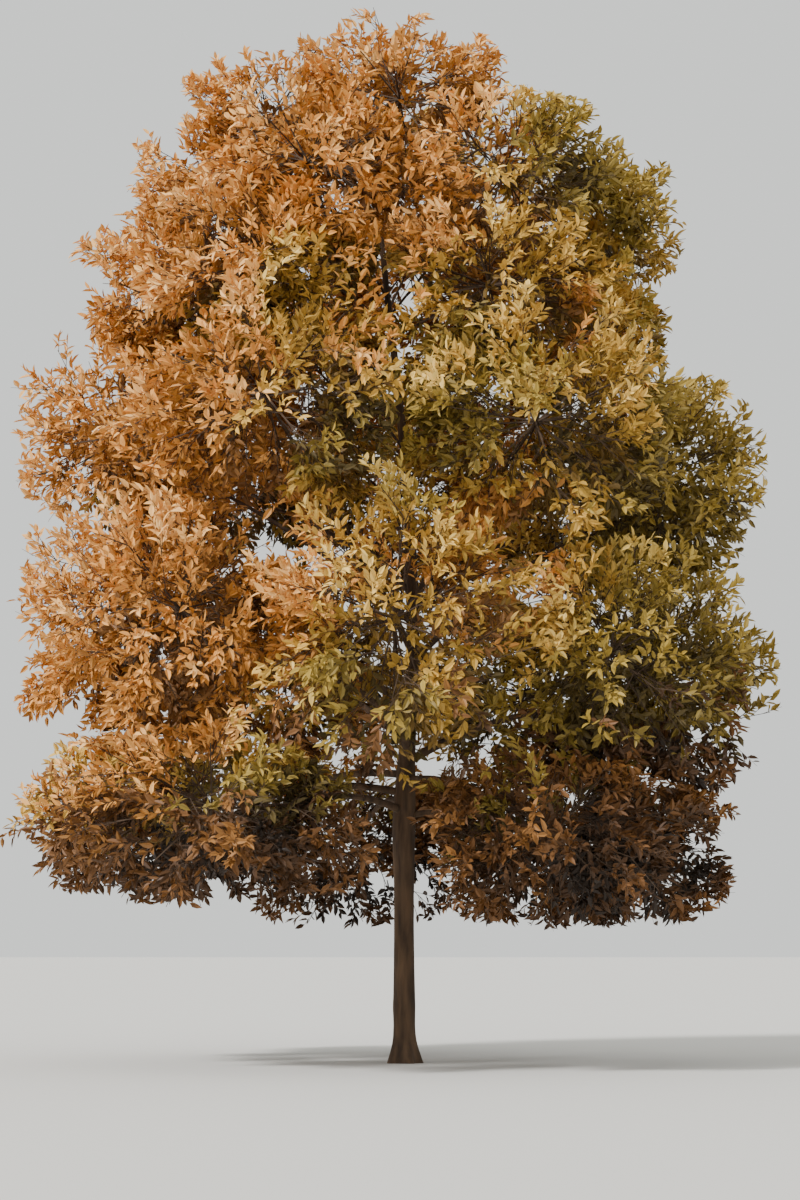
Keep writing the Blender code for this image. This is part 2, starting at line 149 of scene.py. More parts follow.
TOP_HALF = (1.30, 1.30, 0.92)
SECTORS = ("right", "back_right", "back", "back_left", "left", "front_left", "front", "front_right")
SECTOR_WIDTH = 360 / len(SECTORS)

# Neighbouring masses would overlap, but the wall between them has WALL_AIR of air on each side. A
# mass's wall towards the trunk has TRUNK_AIR more.
OVERLAP = 1.30
WALL_AIR = 0.012
TRUNK_AIR = 0.20

# A bough tapers to BOUGH_TIP of its radius. It ends BOUGH_ENTRY of the way from its mass's middle
# to the edge.
BOUGH_TIP = 0.42
BOUGH_ENTRY = 0.80
BOUGH_POINTS = 41
STEM_RADIUS = 0.026
STEM_STRAIGHT = 0.08

# Main twigs fork from the heart of a mass. Side twigs and shoots follow, each order from the last.
# A mass of the typical volume has MAIN_TWIGS of them, where a volume is taken as ELLIPSOID_VOLUME
# times the product of the half sizes.
MAIN_TWIGS = 18
MAIN_FEWEST = 9
MAIN_MOST = 22
TYPICAL_VOLUME = 14.0
ELLIPSOID_VOLUME = 4.0
MAIN_REACH = 0.66
MAIN_RADIUS = 0.018
MAIN_BEND = 0.10

# Twigs fork at uneven steps, lean less towards the tip, differ in length and taper.
FORK_UNEVEN = 0.04
FORK_FIRST = 0.05
FORK_TIP_LEAN = 0.45
TWIG_LENGTHS = (0.7, 1.15)
TWIG_SHORTEST = 0.10
TWIG_TAPER = 0.5
TWIG_SIDES = 3
JITTER = 0.22


class TwigOrder(NamedTuple):
    """How one order of twigs leaves the order before it."""

    count: int
    first: float
    lean: float
    reach: float
    longest: float
    radius: float


SIDE_TWIGS = TwigOrder(9, 0.30, math.radians(52), 0.80, 1.05, 0.009)
SHOOTS = TwigOrder(8, 0.28, math.radians(46), 0.90, 0.44, 0.005)

# Leaves lean by LEAF_LEAN, times a share that runs from their shoot's root to its tip. The first
# grows LEAVES_FROM of the way along. Each is widest at its first shoulder, and LEAF_NARROWER times
# as wide at the second.
LEAVES_ON_SHOOT = 7
LEAVES_FROM = 0.30
LEAF_LEAN = math.radians(54)
LEAF_LEAN_SHARES = (1.15, 0.55)
LEAF_SHORTEST = 0.13
LEAF_LONGEST = 0.22
LEAF_WIDTH = 0.40
LEAF_NARROWER = 0.8
LEAF_FOLD = 0.10
LEAF_SHOULDERS = (0.30, 0.66)

# A leaf's middle keeps this far from a limb. Only leaves within LIMB_MARGIN of its reach are tested.
LEAF_LIMB_AIR = 0.16
LIMB_MARGIN = 1.0

# A leaf faces up and out of its mass, and in part by chance.
LEAF_UPWARD = 0.8
LEAF_OUTWARD = 0.7
LEAF_CHANCE = 0.45

SUN_WAY = np.array((-0.48, -0.36, 0.80))
LUMP_SCALE = 1.15
FRINGE_SCALE = 2.9
PATCH_SCALE = 0.42

# Foliage fills a mass out towards its corners. Along the mass's own three axes it reaches as far as
# the solid's ellipsoid. Twigs' lengths are measured in an ellipsoid ROOM times as large, and no side
# twig, shoot or leaf tip ends further than BOX_AIR outside the solids' box.
FULLNESS = 3.0
ROOM = 1.12
BOX_AIR = 0.22

# A side twig or shoot stays where its end is no further out than RAGGED_FROM of the ellipsoid, with
# noise of two sizes added.
RAGGED_FROM = 0.97
RAGGED_LUMPS = 0.85
RAGGED_FRINGE = 0.50


class Family(Enum):
    """The four families of leaf tint, by their place among the finishes."""

    APRICOT = 0
    GOLD = 1
    OLIVE = 2
    # Russet is an autumn tint made very dark, as painted shade for the sprays under the crown.
    RUSSET = 3


@dataclass(frozen=True)
class PlainFinish:
    """A plain matte finish, for leaves, twigs and the floor."""

    name: str
    colour: tuple[float, float, float]
    roughness: float = 0.62

    def material(self) -> bpy.types.Material:
        """Make the material with plain, unlinked values.

        Returns:
            The material.
        """
        made = bpy.data.materials.new(self.name)
        made.use_nodes = True
        shader = made.node_tree.nodes["Principled BSDF"]
        shader.inputs["Base Color"].default_value = (*self.colour, 1.0)
        shader.inputs["Roughness"].default_value = self.roughness
        return made


# Each family runs from the shaded tint to the sunlit one.
TINTS = {
    Family.APRICOT: (
        (0.200, 0.085, 0.016), (0.480, 0.210, 0.038), (0.700, 0.330, 0.075), (0.820, 0.460, 0.150),
    ),
    Family.GOLD: (
        (0.170, 0.095, 0.014), (0.400, 0.235, 0.032), (0.600, 0.360, 0.065), (0.760, 0.520, 0.140),
    ),
    Family.OLIVE: (
        (0.095, 0.062, 0.010), (0.230, 0.155, 0.022), (0.380, 0.255, 0.040), (0.540, 0.370, 0.085),
    ),
    # The russet family is darker than the others at every level: painted shade under the crown.
    Family.RUSSET: (
        (0.022, 0.010, 0.003), (0.075, 0.030, 0.006), (0.160, 0.064, 0.012), (0.280, 0.120, 0.024),
    ),
}
LEVELS = 4


@dataclass(frozen=True)
class TintRule:
    """How light and how warm a spray's tint is, by where it grows.

    The light picks a tint of its family, from painted shade to painted sunlight, and the warmth
    picks the family. Warmth falls by 1 over cooler_over metres to the right and rises by 1 over
    warmer_over metres up, from warm_height. The lowest sprays take the dark russet family, a russet
    tint darkened as painted shade under the crown, whatever their warmth.
    """

    light: float = 0.10
    light_outward: float = 0.36
    light_sunward: float = 0.26
    light_lumps: float = 0.55
    light_fringe: float = 0.25
    warmth: float = 0.50
    cooler_over: float = 9.0
    warm_height: float = 8.0
    warmer_over: float = 17.0
    warm_patches: float = 0.75
    apricot_above: float = 0.60
    olive_below: float = 0.34
    shaded_russet_height: float = 3.8
    shaded_russet_slope: float = 0.14
    shaded_russet_lumps: float = 2.2


TINT_RULE = TintRule()
TWIG_FINISH = PlainFinish("twig_bark", (0.060, 0.034, 0.017), 0.85)


class Socket:
    """A shader socket or a number, with arithmetic that adds maths nodes."""

    def __init__(self, tree: bpy.types.NodeTree, source: bpy.types.NodeSocket | float) -> None:
        """Wrap a socket or a number of one node tree."""
        self.tree = tree
        self.source = source

    def math(self, operation: str, first: "Socket | float", second: "Socket | float") -> "Socket":
        """Add a maths node.

        Args:
            operation: the node's operation.
            first: its first input.
            second: its second input.

        Returns:
            The node's result.
        """
        made = self.tree.nodes.new("ShaderNodeMath")
        made.operation = operation
        for slot, value in zip(made.inputs, (first, second)):
            plug(self.tree, slot, value)
        return Socket(self.tree, made.outputs[0])

    def __add__(self, other: "Socket | float") -> "Socket":
        """Add."""
        return self.math("ADD", self, other)

    __radd__ = __add__

    def __mul__(self, other: "Socket | float") -> "Socket":
        """Multiply."""
        return self.math("MULTIPLY", self, other)

    __rmul__ = __mul__

    def __sub__(self, other: "Socket | float") -> "Socket":
        """Take another from this."""
        return self.math("SUBTRACT", self, other)

    def __rsub__(self, other: "Socket | float") -> "Socket":
        """Take this from another."""
        return self.math("SUBTRACT", other, self)


def plug(tree: bpy.types.NodeTree, slot: bpy.types.NodeSocket, value: "Socket | float | tuple") -> None:
    """Link a wrapped socket to an input, or set the input to a plain value.

    Args:
        tree: the node tree.
        slot: the input.
        value: what goes in.
    """
    source = value.source if isinstance(value, Socket) else value
    if isinstance(source, bpy.types.NodeSocket):
        tree.links.new(source, slot)
    else:
        slot.default_value = source


def node(
    tree: bpy.types.NodeTree, kind: str, settings: dict[str, object], values: dict[str, object]
) -> bpy.types.Node:
    """Add one node.

    Args:
        tree: the node tree.
        kind: the node's type.
        settings: its properties.
        values: its inputs' values or links, by name.

    Returns:
        The node.
    """
    made = tree.nodes.new(kind)
    for name, setting in settings.items():
        setattr(made, name, setting)
    for name, value in values.items():
        plug(tree, made.inputs[name], value)
    return made


# A colour mix node's own numbers for its two colours and for its result.
MIX_FIRST = 6
MIX_SECOND = 7
MIX_RESULT = 2


@dataclass(frozen=True)
class BarkFinish:
    """Furrowed brown bark."""

    furrow: tuple[float, float, float, float] = (0.022, 0.012, 0.007, 1.0)
    ridge: tuple[float, float, float, float] = (0.135, 0.078, 0.040, 1.0)
    roughness: float = 0.88
    scale: float = 9.0
    stretch: float = 0.16
    detail: float = 6.0
    contrast: float = 2.2
    darkness: float = 0.6

    def material(self) -> bpy.types.Material:
        """Make the material, with furrows that run along the trunk.

        Returns:
            The material.
        """
        made = bpy.data.materials.new("bark")
        made.use_nodes = True
        tree = made.node_tree
        shader = tree.nodes["Principled BSDF"]
        place = node(tree, "ShaderNodeTexCoord", {}, {})
        along = (1.0, 1.0, self.stretch)
        mapped = node(
            tree, "ShaderNodeMapping", {}, {"Vector": Socket(tree, place.outputs["Object"]), "Scale": along}
        )
        grain = node(
            tree, "ShaderNodeTexNoise", {},
            {"Vector": Socket(tree, mapped.outputs[0]), "Scale": self.scale, "Detail": self.detail},
        )
        height = Socket(tree, grain.outputs["Fac"]) * self.contrast - self.darkness
        mixed = node(
            tree, "ShaderNodeMix", {"data_type": "RGBA", "clamp_factor": True}, {"Factor": height}
        )
        mixed.inputs[MIX_FIRST].default_value = self.furrow
        mixed.inputs[MIX_SECOND].default_value = self.ridge
        plug(tree, shader.inputs["Base Color"], Socket(tree, mixed.outputs[MIX_RESULT]))
        plug(tree, shader.inputs["Roughness"], self.roughness)
        return made


def unit(vectors: np.ndarray) -> np.ndarray:
    """Scale each vector to a length of 1."""
    return vectors / np.linalg.norm(vectors, axis=-1, keepdims=True)


def between(low: np.ndarray | float, high: np.ndarray | float, share: np.ndarray | float) -> np.ndarray:
    """Go a share of the way from low to high."""
    return low + (high - low) * share


def noise_at(places: np.ndarray, scale: float) -> np.ndarray:
    """Give smooth noise, mostly within 0.6 of 0, at each place. A larger scale makes it finer."""
    return np.array([noise.noise(Vector(place * scale)) for place in places])


def trunk_at(heights: np.ndarray) -> tuple[np.ndarray, np.ndarray]:
    """Find the trunk's middles and radii on a smooth line through its named points.

    Args:
        heights: the heights, in metres.

    Returns:
        The middles, one row for each height, and the radii.
    """
    knots = np.array([point.height for point in TRUNK])
    values = np.array([point[1:] for point in TRUNK])
    slopes = np.gradient(values, knots, axis=0)
    index = np.clip(np.searchsorted(knots, heights, side="right") - 1, 0, len(knots) - 2)
    step = (knots[index + 1] - knots[index])[:, None]
    t = (heights - knots[index])[:, None] / step
    smooth = (
        (2 * t**3 - 3 * t**2 + 1) * values[index]
        + (t**3 - 2 * t**2 + t) * step * slopes[index]
        + (3 * t**2 - 2 * t**3) * values[index + 1]
        + (t**3 - t**2) * step * slopes[index + 1]
    )
    return np.column_stack((smooth[:, 1], smooth[:, 2], heights)), smooth[:, 0]


def across(ways: np.ndarray) -> tuple[np.ndarray, np.ndarray]:
    """Find two directions square to each given one.

    Args:
        ways: unit directions, one a row.

    Returns:
        The square direction that points as far up as it can, and the level one.
    """
    sideways = np.cross(ways, UP)
    upright = np.linalg.norm(sideways, axis=-1) < ALMOST_NONE
    sideways[upright] = (1.0, 0.0, 0.0)
    sideways = unit(sideways)
    return np.cross(sideways, ways), sideways


def ring_quads(sides: int) -> np.ndarray:
    """Number the quads between a ring of points and the ring that follows it."""
    ring = np.arange(sides)
    return np.column_stack((ring, (ring + 1) % sides, sides + (ring + 1) % sides, sides + ring))


def repeated(quads: np.ndarray, times: int, step: int) -> np.ndarray:
    """Repeat quads, with the numbers of their points a step further each time."""
    return (quads[None] + step * np.arange(times)[:, None, None]).reshape(-1, 4)


@dataclass
class Space:
    """The convex room of one mass: an ellipsoid with flat walls towards its neighbours."""

    middle: np.ndarray
    half: np.ndarray
    bearing: float
    walls: list[tuple[np.ndarray, float]] = field(default_factory=list)

    @property
    def rows(self) -> np.ndarray:
        """The outward, sideways and upward directions."""
        cos, sin = math.cos(self.bearing), math.sin(self.bearing)
        return np.array(((cos, sin, 0.0), (-sin, cos, 0.0), UP))

    def scaled(self, offsets: np.ndarray) -> np.ndarray:
        """Turn offsets into the ellipsoid's own, where its surface is at 1."""
        return offsets @ self.rows.T / self.half

    def radius(self, way: np.ndarray) -> float:
        """Give the ellipsoid's radius along a unit direction."""
        return 1.0 / np.linalg.norm(self.scaled(way))

    def add_wall(self, normal: np.ndarray, distance: float) -> None:
        """Put a flat wall square to a direction, at a distance from the middle."""
        self.walls.append((normal, distance - WALL_AIR))

    def runs(self, starts: np.ndarray, ways: np.ndarray, room: float = ROOM) -> np.ndarray:
        """Find how far each line runs before it leaves the space.

        Args:
            starts: where the lines start.
            ways: their unit directions.
            room: the ellipsoid's size, where 1 is the solid's own.

        Returns:
            The runs, 0 for a line that starts outside and leads away.
        """
        offsets = starts - self.middle
        origin, step = self.scaled(offsets), self.scaled(ways)
        a = (step * step).sum(-1)
        b = (origin * step).sum(-1)
        c = (origin * origin).sum(-1) - room**2
        run = (np.sqrt(np.maximum(b * b - a * c, 0.0)) - b) / a
        for normal, distance in self.walls:
            rate = ways @ normal
            gap = distance - offsets @ normal
            stop = np.where(rate > LEAST_RATE, gap / np.maximum(rate, LEAST_RATE), np.inf)
            run = np.minimum(run, stop)
        return np.maximum(run, 0.0)

    def holds(self, points: np.ndarray) -> np.ndarray:
        """Tell which points lie in the space, filled out, and near enough to the solids' box.

        Args:
            points: the points, one a row.

        Returns:
            True for each point that does, and False for the rest.
        """
        offsets = points - self.middle
        lowest, highest = (np.array(corner) for corner in cad_bounds)
        inside = ((points >= lowest - BOX_AIR) & (points <= highest + BOX_AIR)).all(axis=-1)
        inside &= np.linalg.norm(self.scaled(offsets), ord=FULLNESS, axis=-1) <= 1.0
        for normal, distance in self.walls:
            inside &= offsets @ normal <= distance
        return inside


@dataclass
class Limb:
    """A round limb along a line of points, each with its radius."""

    points: np.ndarray
    radii: np.ndarray

    def surface_distance(self, points: np.ndarray) -> np.ndarray:
        """Find how far points are from the limb's surface.

        Args:
            points: the points, one a row.

        Returns:
            The distances, below 0 inside the limb.
        """
        starts, along = self.points[:-1], np.diff(self.points, axis=0)
        offsets = points[:, None, :] - starts[None]
        share = np.clip((offsets * along).sum(-1) / (along * along).sum(-1), 0.0, 1.0)
        gap = np.linalg.norm(offsets - share[..., None] * along, axis=-1)
        return (gap - np.maximum(self.radii[:-1], self.radii[1:])).min(axis=1)


@dataclass
class MeshParts:
    """Quads that are gathered for one piece, with a material number for each."""

    points: list[np.ndarray] = field(default_factory=list)
    faces: list[np.ndarray] = field(default_factory=list)
    tints: list[np.ndarray] = field(default_factory=list)
    count: int = 0

    def add(self, points: np.ndarray, faces: np.ndarray, tints: np.ndarray) -> None:
        """Add quads.

        Args:
            points: their corners.
            faces: the quads, which number these corners from 0.
            tints: the quads' material numbers.
        """
        self.points.append(points)
        self.faces.append(faces + self.count)
        self.tints.append(tints)
        self.count += len(points)

    def build(self, name: str, materials: list[bpy.types.Material], smooth: bool) -> bpy.types.Object:
        """Make the piece.

        Args:
            name: its name.
            materials: its materials, in the order of their numbers.
            smooth: whether it is shaded smooth.

        Returns:
            The object, in the scene.
        """
        points, faces = np.concatenate(self.points), np.concatenate(self.faces)
        mesh = bpy.data.meshes.new(name)
        mesh.vertices.add(len(points))
        mesh.vertices.foreach_set("co", points.astype(np.float32).ravel())
        mesh.loops.add(faces.size)
        mesh.loops.foreach_set("vertex_index", faces.astype(np.int32).ravel())
        mesh.polygons.add(len(faces))
        mesh.polygons.foreach_set("loop_start", np.arange(0, faces.size, faces.shape[1], dtype=np.int32))
        for made in materials:
            mesh.materials.append(made)
        mesh.polygons.foreach_set("material_index", np.concatenate(self.tints).astype(np.int32))
        mesh.update(calc_edges=True)
        if smooth:
            mesh.shade_smooth()
        else:
            mesh.shade_flat()
        obj = bpy.data.objects.new(name, mesh)
        bpy.context.scene.collection.objects.link(obj)
        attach(obj, BODY)
        log.info("%s: %d triangles", name, 2 * len(faces))
        return obj


@dataclass
class Twigs:
    """Straight twigs: where each starts and ends."""

    starts: np.ndarray
    ends: np.ndarray

    @property
    def ways(self) -> np.ndarray:
        """Each twig's unit direction."""
        return unit(self.ends - self.starts)

    def spiral(
        self, share: np.ndarray, lean: np.ndarray, draw: np.random.Generator
    ) -> tuple[np.ndarray, np.ndarray]:
        """Set out what grows from these twigs, in a spiral round each.

        Args:
            share: how far along its twig each one starts, as a share of the twig's length.
            lean: the angle at which each one leaves its twig.
            draw: the source of chance.

        Returns:
            Where they start and their unit directions, one a row.
        """
        roots = between(self.starts[:, None], self.ends[:, None], share)
        over, side = (ways[:, None] for ways in across(self.ways))
        first_turn = draw.uniform(0.0, math.tau, (len(self.starts), 1))
        turn = first_turn + np.arange(share.shape[1]) * math.tau * GOLDEN
        away = np.cos(turn)[..., None] * over + np.sin(turn)[..., None] * side
        ways = np.cos(lean) * self.ways[:, None] + np.sin(lean) * away
        ways = unit(ways + draw.normal(0.0, JITTER, ways.shape))
        return roots.reshape(-1, 3), ways.reshape(-1, 3)

    def fork(self, order: TwigOrder, space: Space, draw: np.random.Generator) -> "Twigs":
        """Grow the next order of twigs from these.

        Args:
            order: how they leave these twigs.
            space: the room that they stay in.
            draw: the source of chance.

        Returns:
            The new twigs, without those too short to show.
        """
        share = np.linspace(order.first, 1.0, order.count) * np.ones((len(self.starts), 1))
        share = share + draw.normal(0.0, FORK_UNEVEN, share.shape)
        share = np.clip(share, FORK_FIRST, 1.0)[..., None]
        roots, ways = self.spiral(share, order.lean * between(1.0, FORK_TIP_LEAN, share), draw)
        longest = order.longest * draw.uniform(*TWIG_LENGTHS, len(roots))
        length = np.minimum(longest, order.reach * space.runs(roots, ways))
        ends = roots + ways * length[:, None]
        keep = (length > TWIG_SHORTEST) & space.holds(ends)
        return Twigs(roots[keep], ends[keep])

    def add_to(self, parts: MeshParts, radius: float) -> None:
        """Add the twigs, as thin three-sided rods, to a piece.

        Args:
            parts: the piece.
            radius: a twig's radius at its root.
        """
        over, side = across(self.ways)
        angles = np.arange(TWIG_SIDES) * math.tau / TWIG_SIDES
        ring = np.cos(angles)[:, None] * over[:, None] + np.sin(angles)[:, None] * side[:, None]
        low = self.starts[:, None] + radius * ring
        high = self.ends[:, None] + TWIG_TAPER * radius * ring
        points = np.concatenate((low, high), axis=1).reshape(-1, 3)
        faces = repeated(ring_quads(TWIG_SIDES), len(self.starts), 2 * TWIG_SIDES)
        parts.add(points, faces, np.zeros(len(faces)))


@dataclass
class Mass:
    """One mass of foliage, in its own space."""

    name: str
    number: int
    space: Space
    fork: float
    bough_radius: float
    arch: float

    def bough(self) -> Limb | None:
        """Give the mass's bough, a curve from the trunk to where it enters the mass.

        Returns:
            The bough, or None for a mass that grows from the trunk itself.
        """
        if not self.bough_radius:
            return None
        start = trunk_at(np.array([self.fork]))[0][0]
        inward = unit(start - self.space.middle)
        run = self.space.runs(self.space.middle[None], inward[None], room=1.0)[0]
        entry = self.space.middle + inward * BOUGH_ENTRY * run
        control = between(start, entry, 0.5) + UP * self.arch
        share = np.linspace(0.0, 1.0, BOUGH_POINTS)[:, None]
        points = (1 - share) ** 2 * start + 2 * share * (1 - share) * control + share**2 * entry
        return Limb(points, self.bough_radius * between(1.0, BOUGH_TIP, share[:, 0]))

    def stem(self) -> Twigs:
        """Give the stem, in straight pieces, from its bough, the trunk or the trunk's tip.

        Returns:
            The stem, which ends in the mass's heart.
        """
        heart = self.space.middle
        if self.name == TOP_NAME:
            tip, way = trunk_at(np.array([TRUNK[-1].height]))[0][0], UP
        elif self.bough_radius:
            points = self.bough().points
            tip, way = points[-1], unit(points[-1] - points[-2])
        else:
            tip = trunk_at(np.array([self.fork]))[0][0]
            return Twigs(tip[None], heart[None])
        start = tip + way * GAP
        turn = start + way * STEM_STRAIGHT
        return Twigs(np.array((start, turn)), np.array((turn, heart)))

    def main_twigs(self, draw: np.random.Generator) -> Twigs:
        """Grow the main twigs from the heart towards every side.

        Args:
            draw: the source of chance.

        Returns:
            The twigs, more of them in a larger mass.
        """
        size = (float(np.prod(self.space.half)) * ELLIPSOID_VOLUME / TYPICAL_VOLUME) ** (2.0 / 3.0)
        count = int(np.clip(round(MAIN_TWIGS * size), MAIN_FEWEST, MAIN_MOST))
        rise = 1.0 - 2.0 * (np.arange(count) + 0.5) / count
        around = draw.uniform(0.0, math.tau) + np.arange(count) * math.tau * GOLDEN
        flat = np.sqrt(1.0 - rise**2)
        ball = np.column_stack((flat * np.cos(around), flat * np.sin(around), rise))
        ways = unit(ball * self.space.half @ self.space.rows)
        ways = unit(ways + draw.normal(0.0, MAIN_BEND, ways.shape))
        hearts = np.repeat(self.space.middle[None], count, axis=0)
        reach = MAIN_REACH * self.space.runs(hearts, ways)
        return Twigs(hearts, hearts + ways * reach[:, None])

    def ragged(self, twigs: Twigs) -> Twigs:
        """Leave out twigs in patches near the outline, so that it is ragged and sky shows through.

        Args:
            twigs: one order of the full mass's twigs.

        Returns:
            Those that stay.
        """
        far_out = np.linalg.norm(self.space.scaled(twigs.ends - self.space.middle), axis=1)
        lump = noise_at(twigs.ends, LUMP_SCALE)
        fringe = noise_at(twigs.ends, FRINGE_SCALE)
        keep = far_out < RAGGED_FROM + RAGGED_LUMPS * lump + RAGGED_FRINGE * fringe
        return Twigs(twigs.starts[keep], twigs.ends[keep])

    def tints(self, places: np.ndarray) -> np.ndarray:
        """Deal a tint to each spray by its height, its side, how far out it is, and smooth noise.

        Args:
            places: where the sprays are.

        Returns:
            The tints' numbers.
        """
        rule = TINT_RULE
        offsets = places - self.space.middle
        far_out = np.linalg.norm(self.space.scaled(offsets), axis=1)
        sunny = unit(offsets) @ SUN_WAY
        lump = noise_at(places, LUMP_SCALE)
        patch = noise_at(places, PATCH_SCALE)
        fringe = noise_at(places, FRINGE_SCALE)
        right, height = places[:, 0], places[:, 2]
        # Painted light: sprays further out of their mass and facing the sun take a lighter tint of their
        # family, inner and shaded ones a darker one, with smooth noise added.
        light = rule.light + rule.light_outward * far_out + rule.light_sunward * sunny
        light = light + rule.light_lumps * lump + rule.light_fringe * fringe
        level = np.clip((light * LEVELS).astype(int), 0, LEVELS - 1)
        warm = rule.warmth - right / rule.cooler_over + (height - rule.warm_height) / rule.warmer_over
        warm = warm + rule.warm_patches * patch
        family = np.where(warm > rule.apricot_above, Family.APRICOT.value, Family.GOLD.value)
        family = np.where(warm < rule.olive_below, Family.OLIVE.value, family)
        # Painted shade: the lowest sprays, under the crown, take the dark russet family.
        low = height < rule.shaded_russet_height + rule.shaded_russet_slope * right + rule.shaded_russet_lumps * lump
        return np.where(low, Family.RUSSET.value, family) * LEVELS + level

    def add_leaves(
        self, parts: MeshParts, shoots: Twigs, limbs: list[Limb], draw: np.random.Generator
    ) -> None:
        """Add each shoot's spray of leaves to a piece.

        Args:
            parts: the piece.
            shoots: the twigs that bear them.
            limbs: what the leaves keep off.
            draw: the source of chance.
        """
        tints = np.repeat(self.tints(shoots.ends), LEAVES_ON_SHOOT)
        share = np.linspace(LEAVES_FROM, 1.0, LEAVES_ON_SHOOT)[None, :, None]
        roots, ways = shoots.spiral(share, LEAF_LEAN * between(*LEAF_LEAN_SHARES, share), draw)
        lengths = draw.uniform(LEAF_SHORTEST, LEAF_LONGEST, len(roots))[:, None]
        outward = unit(roots - self.space.middle + ALMOST_NONE)
        chance = draw.normal(0.0, LEAF_CHANCE, ways.shape)
        facing = LEAF_UPWARD * UP + LEAF_OUTWARD * outward + chance
        face = unit(facing - ways * (facing * ways).sum(-1, keepdims=True))
        keep = self.space.holds(roots + ways * lengths)
        middles = roots + 0.5 * ways * lengths
        for limb in limbs:
            centre = limb.points.mean(axis=0)
            near = np.linalg.norm(middles - centre, axis=1)
            reach = np.linalg.norm(limb.points - centre, axis=1).max() + LIMB_MARGIN
            close = keep & (near < reach)
            keep[close] &= limb.surface_distance(middles[close]) > LEAF_LIMB_AIR
        add_leaf_quads(parts, roots[keep], ways[keep], face[keep], lengths[keep], tints[keep])

    def grow(self, leaves: MeshParts, twigs: MeshParts, limbs: list[Limb]) -> None:
        """Grow the whole mass into two pieces.

        Args:
            leaves: the piece that takes its leaves.
            twigs: the piece that takes its stem and twigs.
            limbs: the trunk and boughs, which its leaves keep off.
        """
        draw = np.random.default_rng((SEED, self.number))
        main = self.main_twigs(draw)
        sides = self.ragged(main.fork(SIDE_TWIGS, self.space, draw))
        shoots = self.ragged(sides.fork(SHOOTS, self.space, draw))
        self.stem().add_to(twigs, STEM_RADIUS)
        main.add_to(twigs, MAIN_RADIUS)
        sides.add_to(twigs, SIDE_TWIGS.radius)
        shoots.add_to(twigs, SHOOTS.radius)
        self.add_leaves(leaves, shoots, limbs, draw)


def add_leaf_quads(
    parts: MeshParts,
    roots: np.ndarray,
    ways: np.ndarray,
    face: np.ndarray,
    lengths: np.ndarray,
    tints: np.ndarray,
) -> None:
    """Add leaves in a long pointed outline, folded along the midrib.

    Args:
        parts: the piece that takes them.
        roots: the leaves' roots.
        ways: their unit directions.
        face: the unit directions that they face.
        lengths: their lengths.
        tints: their tints' numbers.
    """
    aside = np.cross(face, ways) * lengths * LEAF_WIDTH / 2
    lift = face * lengths * LEAF_FOLD
    lower, upper = (roots + ways * lengths * share for share in LEAF_SHOULDERS)
    corners = (
        roots,
        lower + aside + lift,
        upper + LEAF_NARROWER * aside + lift,
        roots + ways * lengths,
        upper - LEAF_NARROWER * aside + lift,
        lower - aside + lift,
    )
    points = np.stack(corners, axis=1).reshape(-1, 3)
    halves = np.array(((0, 1, 2, 3), (0, 3, 4, 5)))
    faces = repeated(halves, len(roots), len(corners))
    parts.add(points, faces, np.repeat(tints, len(halves)))


@dataclass
class Crown:
    """All masses of foliage, laid out by the solids' rule."""

    masses: list[Mass]

    @classmethod
    def lay_out(cls) -> "Crown":
        """Place every mass and put a wall between every two.

        Returns:
            The crown.
        """
        masses = []
        for tier in TIERS:
            masses.extend(cls.tier_masses(tier, len(masses)))
        top = Space(np.array(TOP_MIDDLE), np.array(TOP_HALF), 0.0)
        masses.append(Mass(TOP_NAME, len(masses), top, 0.0, 0.0, 0.0))
        for i, mass in enumerate(masses):
            for other in masses[i + 1:]:
                divide(mass.space, other.space)
        return cls(masses)

    @staticmethod
    def tier_masses(tier: Tier, first_number: int) -> list[Mass]:
        """Lay out one tier round the trunk.

        Args:
            tier: the tier.
            first_number: its first mass's number.

        Returns:
            Its masses, walled off from the trunk.
        """
        masses = []
        for i, bearing in enumerate(tier.bearings):
            angle = math.radians(bearing)
            leftness = (1.0 - math.cos(angle)) / 2.0
            side = Side(*(between(low, high, leftness) for low, high in zip(tier.right, tier.left)))
            before = (bearing - tier.bearings[i - 1]) % 360
            after = (tier.bearings[(i + 1) % len(tier.bearings)] - bearing) % 360
            distance = side.reach - side.deep
            # Half of its own share of the ring, which is half of the gaps before and after it.
            wide = OVERLAP * distance * math.radians(before + after) / 4.0
            tall = side.tall * between(1.0, OVERLAP, 1.0 - abs(math.cos(angle)))
            middle = np.array((distance * math.cos(angle), distance * math.sin(angle), side.height))
            space = Space(middle, np.array((side.deep, wide, tall)), angle)
            trunk_middle, radius = trunk_at(np.array([min(side.height, TRUNK[-1].height)]))
            outward = space.rows[0]
            space.add_wall(-outward, (middle - trunk_middle[0]) @ outward - radius[0] - TRUNK_AIR)
            fork = tier.fork + tier.fork_band * (i * GOLDEN % 1.0)
            name = f"{tier.name}_{SECTORS[round(bearing / SECTOR_WIDTH) % len(SECTORS)]}"
            masses.append(Mass(name, first_number + i, space, fork, tier.bough, tier.arch))
        return masses

    def build(self, trunk: Limb) -> None:
        """Make a piece of leaves and a piece of twigs for each tier, in place of its solids.

        Args:
            trunk: the trunk's line, which the leaves keep off.
        """
        tints = [
            PlainFinish(f"leaf_{family.name.lower()}_{level}", colour).material()
            for family in Family
            for level, colour in enumerate(TINTS[family])
        ]
        twig_bark = TWIG_FINISH.material()
        limbs = [trunk] + [mass.bough() for mass in self.masses if mass.bough_radius]
        for tier in [tier.name for tier in TIERS] + [TOP_NAME]:
            own = [mass for mass in self.masses if mass.name.split("_")[0] == tier]
            leaves, twigs = MeshParts(), MeshParts()
            for mass in own:
                mass.grow(leaves, twigs, limbs)
            made = leaves.build(f"leaves_{tier}", tints, smooth=False)
            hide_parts(*[f"foliage_{mass.name}" for mass in own])
            twigs.build(f"twigs_{tier}", [twig_bark], smooth=False)


